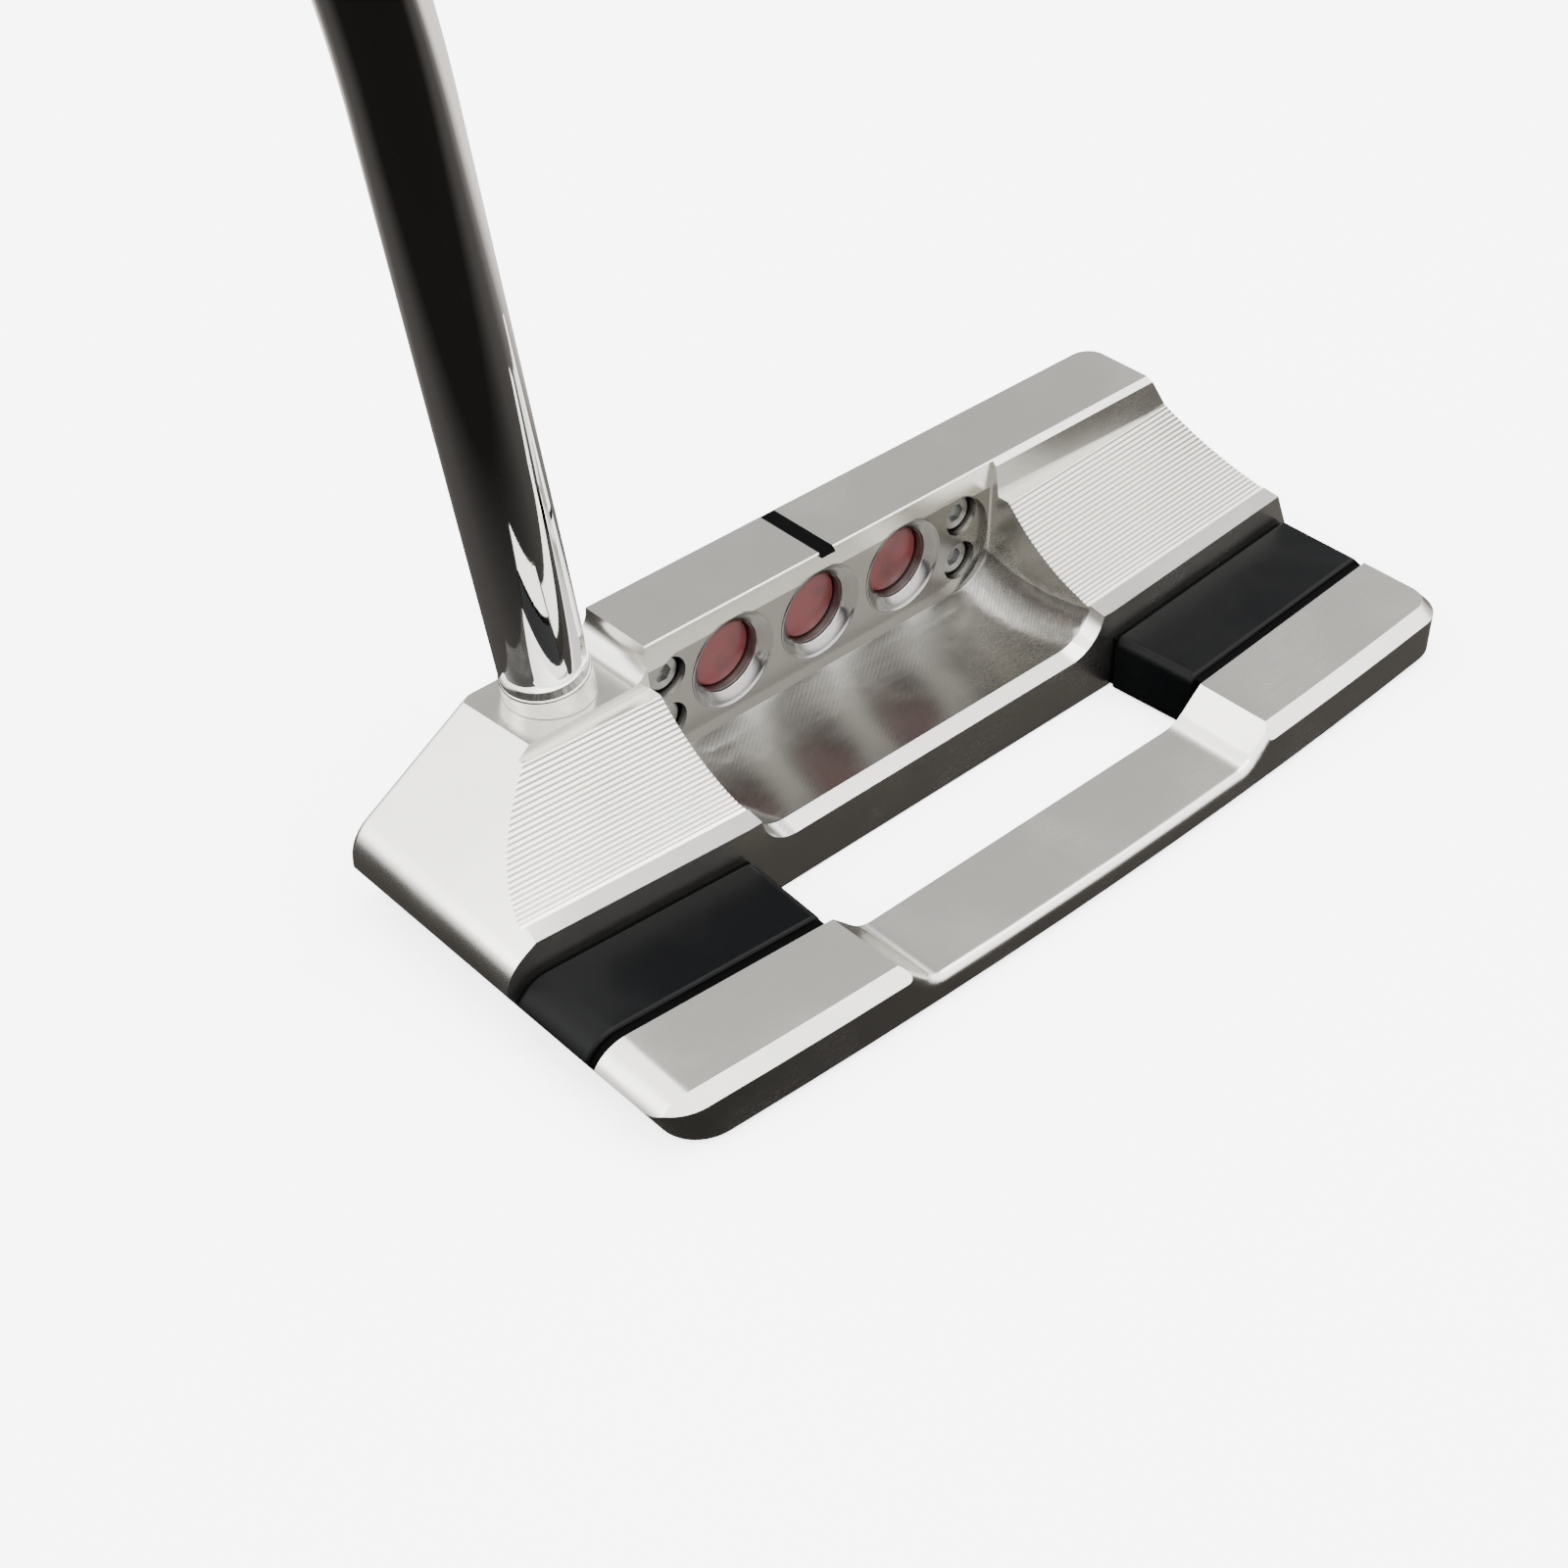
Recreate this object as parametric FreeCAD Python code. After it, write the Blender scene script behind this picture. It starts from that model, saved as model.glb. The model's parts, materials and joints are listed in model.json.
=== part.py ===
import FreeCAD, Part
import os
from math import asin, cos, radians, sin, sqrt, tan

# Mallet putter, right-handed, millimetres.
# +X runs from heel to toe, +Y is the direction the face strikes, +Z is up.
# The origin lies on the flat of the sole, on the centre line of the cavity.

V = FreeCAD.Vector

# head envelope
top_z = 22.5                 # topline above the sole
face_y = 15.0                # front edge of the topline
loft = 3.0                   # degrees the face leans back
topline_rear_y = 5.2
topline_heel_x = -25.5
platform_z = 19.15           # step beside the topline that carries the shaft
land_z = 10.8                # narrow sloping land at the foot of each wing
land_fall = 0.6
land_rear_y = -12.35
heel_x = -57.0
toe_x = 61.2
side_turn = 0.97             # degrees the heel side opens towards the rear
side_low_z = 5.5             # the heel side tucks in below this height
side_tuck = 3.2
toe_bend = [(5.4, 0.0), (10.9, 2.6)]   # (height, step in from toe_x) up the toe end
toe_top_x = 52.2
flange_z = 6.92              # top of the blocks and of the bar ends

# heel facet: a flat falling from the platform to the heel side
facet_top_x = -42.2
facet_slope = 33.8
facet_plan = 3.4             # degrees the facet turns in towards the rear
facet_round = 5.0            # radius where the facet turns into the heel side
front_corner_heel = 1.0
front_corner_toe = 2.4
step_round = 2.7
topline_bevel = 0.55

# wings: a concave cylinder with fine ribs, turned a little in plan
wing_radius = 24.9
wing_centre_y = -14.85
wing_centre_z = 34.8
wing_turn = 3.3
wing_inner_x = 26.0
rib_first_y = 3.9
rib_last_y = -8.6
rib_count = 26
rib_depth = 0.13
wing_foot_y = -8.9

# cavity behind the face wall
cavity_half = 25.9
cavity_wall_y = 5.6
cavity_floor_z = 6.85        # at the foot of the wall and at the lip
cavity_low_z = 5.6           # bottom of the dish between them
cavity_corner = 5.0
lip_start_y = -10.3          # the lip slopes down from here to the rear
lip_drop = 0.75
wall_foot_y = 4.45           # steep wall above the ribs
wall_foot_z = 18.1
wall_lean = 10.0
pocket_depth = 0.7           # shallow long pocket around the dots and screws
pocket_low_z = 6.9
pocket_high_z = 20.2
pocket_half = 25.6

# three sunk dots
dot_pitch = 12.8
dot_z = 13.9
dot_rim_radius = 5.7
dot_radius = 4.15
dot_rim_depth = 1.3
dot_floor_depth = 3.9
dot_thick = 1.7
dot_gap = 0.02

# insert screws, two at each end of the pocket
screw_x = 21.9
screw_z_low = 10.4
screw_z_high = 16.4
screw_bore_radius = 2.4
screw_bore_depth = 2.6
screw_head_radius = 2.15
screw_head_height = 1.7
screw_shank_radius = 1.25
screw_hole_radius = 1.35
screw_hex = 2.0
screw_hex_depth = 1.0
screw_into_insert = 2.2

# face insert and the damping sheet behind it
insert_length = 54.0
insert_height = 15.6
insert_centre_z = 11.3
insert_corner = 4.0
insert_thick = 3.2
damper_thick = 0.8
insert_gap = 0.05

# sight line on the topline
sight_x = 0.1
sight_width = 2.05
sight_depth = 0.5

# window, blocks and rear bar
window_half = 27.4
window_rear_y = -24.85
block_turn = 3.7
block_depth = 10.75
block_inner_gap = 0.5        # thickness of the front gasket
block_rear_gap = 1.25        # thickness of the rear gasket
nose_round = 4.4             # heel ends of the blocks and the bar
toe_bevel = 1.7
block_edge_round = 0.55
block_end_round = 1.3
gasket_inset = 0.45
tongue_thick = 2.4
tongue_reach_front = 8.2
tongue_reach_rear = 6.2
tongue_in_x = 31.0
tongue_out_x = 50.0
tongue_gap = 0.04
sole_screw_xs = (35.0, 46.0)
sole_screw_head = 2.3
sole_screw_shank = 1.25
sole_screw_rise_front = 7.0
sole_screw_rise_rear = 5.2
sole_lift = 0.15             # blocks sit this far above the sole plane

bar_rear_y = -35.9
bar_bow_radius = 850.0
bar_corner = 4.4
bar_bevel = 1.5
bridge_z = 3.3               # thin middle of the bar
bridge_ramp_top = 27.9
bridge_ramp_foot = 24.0
bridge_bevel = 1.1
bridge_foot_round = 4.0
sole_round = 1.0
sole_edge_round = 0.8

# weights screwed into the sole
weight_x = 43.0
weight_y = 4.5
weight_radius = 6.0
weight_depth = 5.5
weight_recess = 0.3
weight_pin_radius = 0.9
weight_pin_offset = 3.3
weight_pin_depth = 1.6

# shaft line: straight off the platform, one bend, then straight to the butt
shaft_base = V(-34.5, 10.1, platform_z)
shaft_lean = 9.2             # degrees off vertical at the head
lie_lean = 19.5              # degrees off vertical above the bend
straight_length = 68.0
bend_radius = 150.0
club_length = 864.0          # 34 in, sole to butt along the shaft
shaft_radius = 4.7           # 0.370 in tip
shaft_butt_radius = 7.35
shaft_wall = 0.6
parallel_length = 90.0
collar_radius = 4.87
collar_height = 3.2
collar_chamfer = 0.35
post_radius = 3.85
post_length = 24.0
epoxy_start = 0.3

# grip
grip_length = 267.0
tape_thick = 0.25
grip_low_half = 9.8
grip_high_half = 12.6
grip_low_deep = 10.2
grip_high_deep = 15.5
grip_flat = 8.6              # flat front, measured from the shaft axis
cap_length = 5.0
cap_radius = 11.6


def box(x0, x1, y0, y1, z0, z1):
    return Part.makeBox(x1 - x0, y1 - y0, z1 - z0, V(x0, y0, z0))


def prism(points, travel):
    """Closed polygon swept along one vector."""
    wire = Part.makePolygon(points + [points[0]])
    return Part.Face(wire).extrude(travel)


def turned_z(shape, angle, at):
    moved = shape.copy()
    moved.rotate(at, V(0, 0, 1), angle)
    return moved


def lofted(shape):
    """Lean a piece back about the front edge of the topline."""
    moved = shape.copy()
    moved.rotate(V(0, face_y, top_z), V(1, 0, 0), loft)
    return moved


def along_shaft(shape):
    """Place a piece built along +Z from the origin onto the lower shaft axis."""
    moved = shape.copy()
    moved.rotate(V(0, 0, 0), V(0, 1, 0), -shaft_lean)
    moved.translate(shaft_base)
    return moved


def near(value, target, slack=0.3):
    return abs(value - target) < slack


def fillet_where(shape, radius, test):
    picked = [e for e in shape.Edges if test(e)]
    return shape.makeFillet(radius, picked)


def wing_cutter(side):
    """Everything above one ribbed wing: smooth cove, ribs, then the flat land."""
    x_in = wing_inner_x - 30.0
    length = 80.0
    span0 = asin((rib_first_y - wing_centre_y) / wing_radius)
    span1 = asin((rib_last_y - wing_centre_y) / wing_radius)
    step = (span0 - span1) / rib_count

    def at(angle, depth=0.0):
        r = wing_radius + depth
        return V(x_in, wing_centre_y + r * sin(angle), wing_centre_z - r * cos(angle))

    crest = at(span0)
    groove = at(span0 - 0.004, 0.32)
    wall_top = V(x_in, crest.y + (top_z + 20 - crest.z) * tan(radians(wall_lean)), top_z + 20)
    edges = [Part.LineSegment(wall_top, crest).toShape(), Part.LineSegment(crest, groove).toShape(),
             Part.LineSegment(groove, at(span0 - 0.010)).toShape()]
    start = at(span0 - 0.010)
    for i in range(rib_count):
        angle = span0 - (i + 1) * step if i + 1 < rib_count else span1
        end = at(angle)
        middle = at(angle + step / 2, rib_depth)
        edges.append(Part.Arc(start, middle, end).toShape())
        start = end
    foot = V(x_in, wing_foot_y, land_z - 0.25)
    lip = V(x_in, wing_foot_y - 0.3, land_z)
    rear = V(x_in, land_rear_y - 15, land_z - land_fall * 5)
    rear_top = V(x_in, land_rear_y - 15, top_z + 20)
    corners = [start, foot, lip, rear, rear_top, wall_top]
    for a, b in zip(corners, corners[1:]):
        edges.append(Part.LineSegment(a, b).toShape())
    face = Part.Face(Part.Wire(edges))
    cutter = face.extrude(V(length, 0, 0))
    if side < 0:
        cutter = cutter.mirror(V(0, 0, 0), V(1, 0, 0))
    return turned_z(cutter, side * wing_turn, V(side * 43.0, -3.0, 0))


def half_space_x(side, points):
    """Prism beyond an end profile given as (x, z) points from the sole up."""
    far = side * 90
    outline = [V(x, -60, z) for x, z in points]
    outline += [V(far, -60, points[-1][1]), V(far, -60, points[0][1])]
    return prism(outline, V(0, 120, 0))


def facet_cutter():
    """Everything above the sloping flat at the heel."""
    slope = radians(facet_slope)
    far = -95.0
    run_up = 12.0
    outline = [V(far, -60, platform_z - (facet_top_x - far) * tan(slope)),
               V(facet_top_x + run_up / tan(slope), -60, platform_z + run_up),
               V(far, -60, platform_z + run_up)]
    return turned_z(prism(outline, V(0, 120, 0)), facet_plan, V(facet_top_x, face_y, 0))


def toe_profile():
    side = [(toe_x, -1)] + [(toe_x - step_in, z) for z, step_in in toe_bend]
    return side + [(toe_top_x, top_z), (toe_top_x - 5.5, top_z + 10)]


def heel_side_cutter():
    """Beyond the heel side: upright, tucked in below, turned a little in plan."""
    far = -95.0
    low = heel_x + side_tuck * (side_low_z + 1) / side_low_z
    outline = [V(low, -70, -1), V(heel_x, -70, side_low_z), V(heel_x, -70, 60), V(far, -70, 60),
               V(far, -70, -1)]
    return turned_z(prism(outline, V(0, 120, 0)), -side_turn, V(heel_x, face_y, 0))


def rounded_plate(half, low, high, y0, y1, radius):
    """Upright plate with rounded corners, facing along Y."""
    plate = box(-half, half, y0, y1, low, high)
    return fillet_where(plate, radius, lambda e: near(e.Length, y1 - y0, 0.01) and
                        abs(e.tangentAt(e.FirstParameter).y) > 0.9)


def screw_spots():
    return [(side * screw_x, z) for side in (-1, 1) for z in (screw_z_low, screw_z_high)]


def rod_y(x, z, radius, y0, y1):
    return Part.makeCylinder(radius, y1 - y0, V(x, y0, z), V(0, 1, 0))


def rod_z(x, y, radius, z0, z1):
    return Part.makeCylinder(radius, z1 - z0, V(x, y, z0), V(0, 0, 1))


pocket_y = cavity_wall_y + pocket_depth


def trough_wire(y, low):
    """Upright U with round bottom corners at one depth."""
    half = cavity_half
    high = top_z + 15
    r = cavity_corner
    q = r * (1 - sqrt(0.5))
    p = [V(-half, y, high), V(-half, y, low + r), V(-half + r, y, low), V(half - r, y, low),
         V(half, y, low + r), V(half, y, high)]
    edges = [Part.LineSegment(p[0], p[1]).toShape(),
             Part.Arc(p[1], V(-half + q, y, low + q), p[2]).toShape(),
             Part.LineSegment(p[2], p[3]).toShape(),
             Part.Arc(p[3], V(half - q, y, low + q), p[4]).toShape(),
             Part.LineSegment(p[4], p[5]).toShape(),
             Part.LineSegment(p[5], p[0]).toShape()]
    return Part.Wire(edges)


def cavity_cutter():
    """Rounded trough between the wings, its floor dished between the wall and the rear lip."""
    middle = (cavity_wall_y + lip_start_y) / 2
    dish = Part.makeLoft([trough_wire(cavity_wall_y, cavity_floor_z), trough_wire(middle, cavity_low_z),
                          trough_wire(lip_start_y, cavity_floor_z)], True, False)
    lip = Part.makeLoft([trough_wire(lip_start_y, cavity_floor_z),
                         trough_wire(land_rear_y - 1, cavity_floor_z - lip_drop)], True, True)
    return dish.fuse(lip)


def head_blank():
    """Outer form of the head before anything is milled into it."""
    body = box(-70, 75, -14, 20, 0, top_z)
    body = body.cut(lofted(box(-90, 90, face_y, face_y + 30, -30, top_z + 20)))
    for side in (-1, 1):
        x0, x1 = (window_half, 90) if side > 0 else (-90, -window_half)
        away = box(-90, 90, -60, land_rear_y, -9, 40)
        away = turned_z(away, side * block_turn, V(side * window_half, land_rear_y, 0))
        body = body.cut(away.common(box(x0, x1, -90, 60, -9, 40)))
    body = body.cut(box(-window_half, window_half, -60, land_rear_y, -5, 40))
    body = body.cut(half_space_x(1, toe_profile()))
    body = body.cut(heel_side_cutter()).cut(facet_cutter())
    crest = [e for e in body.Edges if e.BoundBox.XMax < heel_x + 1 and e.BoundBox.ZMin > side_low_z + 1
             and e.BoundBox.YLength > 15]
    body = body.makeFillet(facet_round, crest)
    for radius, low_x, high_x in ((front_corner_toe, 40, 90), (front_corner_heel, -90, -40)):
        corners = [e for e in body.Edges if e.BoundBox.YMin > face_y - 0.1 and e.BoundBox.ZLength > 2
                   and low_x < e.BoundBox.Center.x < high_x]
        body = body.makeFillet(radius, corners)
    sole = [e for e in body.Edges if e.BoundBox.ZMax < 0.01 and e.BoundBox.YMax > -9]
    return body.makeFillet(sole_round, sole)


def head_body():
    body = head_blank()
    # platform beside the topline, with a scooped step
    low = box(-90, topline_heel_x, -60, 60, platform_z, top_z + 20)
    low = fillet_where(low, step_round, lambda e: near(e.BoundBox.ZMax, platform_z, 0.01) and
                       near(e.BoundBox.XMin, topline_heel_x, 0.01) and e.BoundBox.YLength > 50)
    body = body.cut(low)
    for side in (-1, 1):
        x0, x1 = (0, 90) if side > 0 else (-90, 0)
        body = body.cut(wing_cutter(side).common(box(x0, x1, -60, 60, -5, 80)))
    body = body.cut(cavity_cutter())
    # steep wall between the topline or the platform and the first rib
    rise = (topline_rear_y - wall_foot_y) / (top_z - wall_foot_z) * (60 - wall_foot_z)
    wall = [V(-90, wall_foot_y, wall_foot_z), V(-90, wall_foot_y + rise, 60), V(-90, -60, 60),
            V(-90, -60, wall_foot_z)]
    body = body.cut(prism(wall, V(180, 0, 0)))
    # bevel along the rear edge of the topline
    ridge = prism([V(topline_heel_x, topline_rear_y - 2, top_z - topline_bevel - 2),
                   V(topline_heel_x, topline_rear_y + topline_bevel, top_z),
                   V(topline_heel_x, topline_rear_y - 2, top_z + 1)], V(90, 0, 0))
    return body.cut(ridge)


def fitted_head():
    body = head_body()
    # long shallow pocket, dots, screw bores
    radius = (pocket_high_z - pocket_low_z) / 2 - 0.05
    body = body.cut(rounded_plate(pocket_half, pocket_low_z, pocket_high_z,
                                  cavity_wall_y - 2, pocket_y, radius))
    for i in (-1, 0, 1):
        x = i * dot_pitch
        rim = Part.makeCone(dot_rim_radius, dot_radius + 0.35, dot_rim_depth,
                            V(x, pocket_y, dot_z), V(0, 1, 0))
        body = body.cut(rim)
        body = body.cut(rod_y(x, dot_z, dot_radius, pocket_y, pocket_y + dot_floor_depth))
    for x, z in screw_spots():
        body = body.cut(rod_y(x, z, screw_bore_radius, pocket_y - 1, pocket_y + screw_bore_depth))
        body = body.cut(rod_y(x, z, screw_hole_radius, pocket_y, face_y + 3))
    # insert pocket in the face
    half = insert_length / 2
    low = insert_centre_z - insert_height / 2
    high = insert_centre_z + insert_height / 2
    deep = face_y - insert_thick - damper_thick
    body = body.cut(lofted(rounded_plate(half, low, high, deep, face_y + 2, insert_corner)))
    # sight line groove
    body = body.cut(sight_bar())
    # pockets for the tongues of the blocks, screw holes and weights
    for side in (-1, 1):
        body = body.cut(tongue(side, True, tongue_gap))
        for x, y in front_screw_spots(side):
            body = body.cut(rod_z(x, y, sole_screw_shank, 0, sole_screw_rise_front))
        body = body.cut(rod_z(side * weight_x, weight_y, weight_radius, -1, weight_depth))
    # post that the shaft slides over
    post = along_shaft(Part.makeCylinder(post_radius, post_length + 4, V(0, 0, -4)))
    body = body.fuse(post.common(box(-90, 0, -60, 60, platform_z - 1.5, 200)))
    return body.removeSplitter()


def sight_bar():
    half = sight_width / 2
    bar = box(sight_x - half, sight_x + half, cavity_wall_y - 2, face_y + 2,
              top_z - sight_depth, top_z + 2)
    return bar


def sight_fill():
    half = sight_width / 2
    bar = box(sight_x - half, sight_x + half, topline_rear_y, face_y + 2,
              top_z - sight_depth, top_z - 0.03)
    bar = bar.cut(lofted(box(-90, 90, face_y, face_y + 30, -30, top_z + 20)))
    bevel = prism([V(-5, topline_rear_y, top_z - 0.5), V(-5, topline_rear_y + 0.5, top_z),
                   V(-5, topline_rear_y, top_z)], V(10, 0, 0))
    return bar.cut(bevel)


def dot(i):
    y1 = pocket_y + dot_floor_depth
    disc = rod_y(i * dot_pitch, dot_z, dot_radius - dot_gap, y1 - dot_thick, y1)
    return disc.makeFillet(0.35, [e for e in disc.Edges if near(e.BoundBox.YMax, y1 - dot_thick, 0.01)])


def hexagon(x, y, z, width, depth):
    """Hex socket facing the rear."""
    radius = width / 2 / cos(radians(30))
    points = [V(x + radius * cos(radians(60 * k)), y, z + radius * sin(radians(60 * k)))
              for k in range(6)]
    return prism(points, V(0, depth, 0))


def insert_screw(x, z):
    y1 = pocket_y + screw_bore_depth
    y0 = y1 - screw_head_height
    head = rod_y(x, z, screw_head_radius, y0, y1)
    head = head.makeChamfer(0.25, [e for e in head.Edges if near(e.BoundBox.YMax, y0, 0.01)])
    back = face_y + (top_z - z) * tan(radians(loft)) - insert_thick / cos(radians(loft))
    shank = rod_y(x, z, screw_shank_radius, y1 - 0.1, back + screw_into_insert)
    return head.fuse(shank).cut(hexagon(x, y0, z, screw_hex, screw_hex_depth)).removeSplitter()


def plate_in_face(y0, y1, gap):
    half = insert_length / 2 - gap
    low = insert_centre_z - insert_height / 2 + gap
    high = insert_centre_z + insert_height / 2 - gap
    return lofted(rounded_plate(half, low, high, y0, y1, insert_corner - gap))


def face_insert():
    plate = plate_in_face(face_y - insert_thick, face_y, insert_gap)
    for x, z in screw_spots():
        back = face_y + (top_z - z) * tan(radians(loft)) - insert_thick / cos(radians(loft))
        plate = plate.cut(rod_y(x, z, screw_shank_radius, back - 1, back + screw_into_insert))
    return plate


def face_damper():
    deep = face_y - insert_thick - damper_thick
    sheet = plate_in_face(deep, face_y - insert_thick, insert_gap)
    for x, z in screw_spots():
        sheet = sheet.cut(rod_y(x, z, screw_hole_radius, 0, face_y + 3))
    return sheet


def front_screw_spots(side):
    return [(side * x, block_front(x) + tongue_reach_front * 0.55) for x in sole_screw_xs]


def rear_screw_spots(side):
    return [(side * x, block_front(x) - block_depth - block_rear_gap - tongue_reach_rear * 0.5)
            for x in sole_screw_xs]


def block_front(x):
    """Y of a block's front face at a distance x from the centre."""
    return land_rear_y - block_inner_gap + (x - window_half) * tan(radians(block_turn))


def block_frame(shape, side):
    """Turn a piece built square beside the window into the block's own direction."""
    if side < 0:
        shape = shape.mirror(V(0, 0, 0), V(1, 0, 0))
    return turned_z(shape, side * block_turn, V(side * window_half, land_rear_y, 0))


def tongue(side, front, gap):
    """Foot of a block that reaches under the head or under the bar."""
    if front:
        y0, y1 = land_rear_y - 2.0, land_rear_y + tongue_reach_front - block_inner_gap
    else:
        y1 = land_rear_y - block_inner_gap - block_depth + 2.0
        y0 = y1 - 2.0 - block_rear_gap - tongue_reach_rear
    floor_z = sole_lift if gap == 0 else -1.0
    bar = box(tongue_in_x - gap, tongue_out_x + gap, y0 - gap, y1 + gap, floor_z,
              sole_lift + tongue_thick + gap)
    return block_frame(bar, side)


def end_trim(side, grow=0.0):
    """Heel or toe end of the flange, one skin shared by gaskets, blocks and bar."""
    top = flange_z - grow
    if side > 0:
        outer = toe_x - grow
        return half_space_x(1, [(outer, -1), (outer, top - toe_bevel), (outer - toe_bevel, top),
                                (outer - toe_bevel - 6, top + 6)])
    x = heel_x + grow
    r = nose_round
    q = r * (1 - sqrt(0.5))
    p = [V(x + r, -70, top), V(x + q, -70, top - q), V(x, -70, top - r)]
    far = V(x - 30, -70, top - r)
    up = V(x - 30, -70, top + 20)
    over = V(x + r, -70, top + 20)
    edges = [Part.Arc(p[0], p[1], p[2]).toShape(), Part.LineSegment(p[2], far).toShape(),
             Part.LineSegment(far, up).toShape(), Part.LineSegment(up, over).toShape(),
             Part.LineSegment(over, p[0]).toShape()]
    nose = Part.Face(Part.Wire(edges)).extrude(V(0, 120, 0))
    nose = turned_z(nose, -side_turn, V(heel_x, face_y, 0))
    side_cut = heel_side_cutter()
    side_cut.translate(V(grow, 0, 0))
    return nose.fuse(side_cut)


def slab(side, y_near, y_far, z0, z1, inner, grow=0.0):
    """Slab beside the window from y_near to y_far, with the shared end skin."""
    piece = box(window_half + inner, 75.0, y_far, y_near, z0, z1)
    return block_frame(piece, side).cut(end_trim(side, grow))


def block(side):
    front = land_rear_y - block_inner_gap
    body = slab(side, front, front - block_depth, sole_lift, flange_z, 0.0)
    ends = [e for e in body.Edges if near(e.BoundBox.ZMin, flange_z, 0.01) and e.BoundBox.XLength < 2
            and abs(e.BoundBox.Center.x) < window_half + 2]
    body = body.makeFillet(block_end_round, ends)
    edges = [e for e in body.Edges if near(e.BoundBox.ZMin, flange_z, 0.01) and e.BoundBox.XLength > 15]
    body = body.makeFillet(block_edge_round, edges)
    body = body.fuse(tongue(side, True, 0)).fuse(tongue(side, False, 0))
    for x, y in front_screw_spots(side) + rear_screw_spots(side):
        body = body.cut(sole_screw_hole(x, y))
    return body.removeSplitter()


def sole_screw_hole(x, y):
    cone = Part.makeCone(sole_screw_head, sole_screw_shank, sole_screw_head - sole_screw_shank,
                         V(x, y, sole_lift), V(0, 0, 1))
    return cone.fuse(rod_z(x, y, sole_screw_shank, sole_lift, 9.0))


def sole_screw(x, y, rise):
    """Countersunk screw driven up from the sole, with a hex socket."""
    cone = Part.makeCone(sole_screw_head, sole_screw_shank, sole_screw_head - sole_screw_shank,
                         V(x, y, sole_lift), V(0, 0, 1))
    body = cone.fuse(rod_z(x, y, sole_screw_shank, sole_lift, rise))
    radius = 0.75 / cos(radians(30))
    points = [V(x + radius * cos(radians(60 * k)), y + radius * sin(radians(60 * k)), sole_lift)
              for k in range(6)]
    return body.cut(prism(points, V(0, 0, 1.0))).removeSplitter()


def gasket(side, front):
    """Soft sheet between a block and its neighbour, set back from the surface."""
    if front:
        y_near, y_far = land_rear_y, land_rear_y - block_inner_gap
    else:
        y_near = land_rear_y - block_inner_gap - block_depth
        y_far = y_near - block_rear_gap
    sheet = slab(side, y_near, y_far, sole_lift, flange_z - gasket_inset, gasket_inset, gasket_inset)
    return sheet.cut(tongue(side, front, tongue_gap))


def bow_y(x):
    """Rear edge of the bar, a long shallow arc."""
    return bar_rear_y + bar_bow_radius - sqrt(bar_bow_radius ** 2 - x ** 2)


def side_x(y):
    """X of the heel side at a depth y."""
    return heel_x + (y - face_y) * tan(radians(side_turn))


def bar_rear_edges(front_heel, front_toe):
    """Edges from the toe front round the bowed rear to the heel front."""
    rear_toe = V(toe_x, bow_y(toe_x), 0)
    rear_heel = V(side_x(bow_y(heel_x)), bow_y(heel_x), 0)
    return [Part.LineSegment(front_toe, rear_toe).toShape(),
            Part.Arc(rear_toe, V(0, bow_y(0), 0), rear_heel).toShape(),
            Part.LineSegment(rear_heel, front_heel).toShape()]


def bar_blank():
    """Bar without its front shape: bowed rear, round corners, bevelled rim."""
    y = -10.0
    heel, toe = V(side_x(y), y, 0), V(toe_x, y, 0)
    edges = [Part.LineSegment(heel, toe).toShape()] + bar_rear_edges(heel, toe)
    body = Part.Face(Part.Wire(edges)).extrude(V(0, 0, flange_z))
    body = body.cut(heel_side_cutter())
    corners = [e for e in body.Edges if e.BoundBox.ZLength > 1 and e.BoundBox.YMax < -20]
    body = body.makeFillet(bar_corner, corners)
    rim = [e for e in body.Edges if e.BoundBox.ZMin > flange_z - 0.01 and e.BoundBox.YMin < y - 0.01]
    return body.makeChamfer(bar_bevel, rim)


def bar_outline():
    """True plan of the bar: gaps behind the blocks, then the window's rear edge."""
    rear_gap = block_inner_gap + block_depth + block_rear_gap
    front_in = land_rear_y - rear_gap / cos(radians(block_turn))
    heel_front = front_in + (abs(heel_x) - window_half) * tan(radians(block_turn))
    toe_front = front_in + (toe_x - window_half) * tan(radians(block_turn))
    reach = 5.0
    lean = tan(radians(block_turn)) * reach
    points = [V(heel_x - reach, heel_front + lean, -1), V(-window_half, front_in, -1),
              V(-window_half, window_rear_y, -1), V(window_half, window_rear_y, -1),
              V(window_half, front_in, -1), V(toe_x + reach, toe_front + lean, -1),
              V(toe_x + reach, -60, -1), V(heel_x - reach, -60, -1)]
    return prism(points, V(0, 0, 20))


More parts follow.
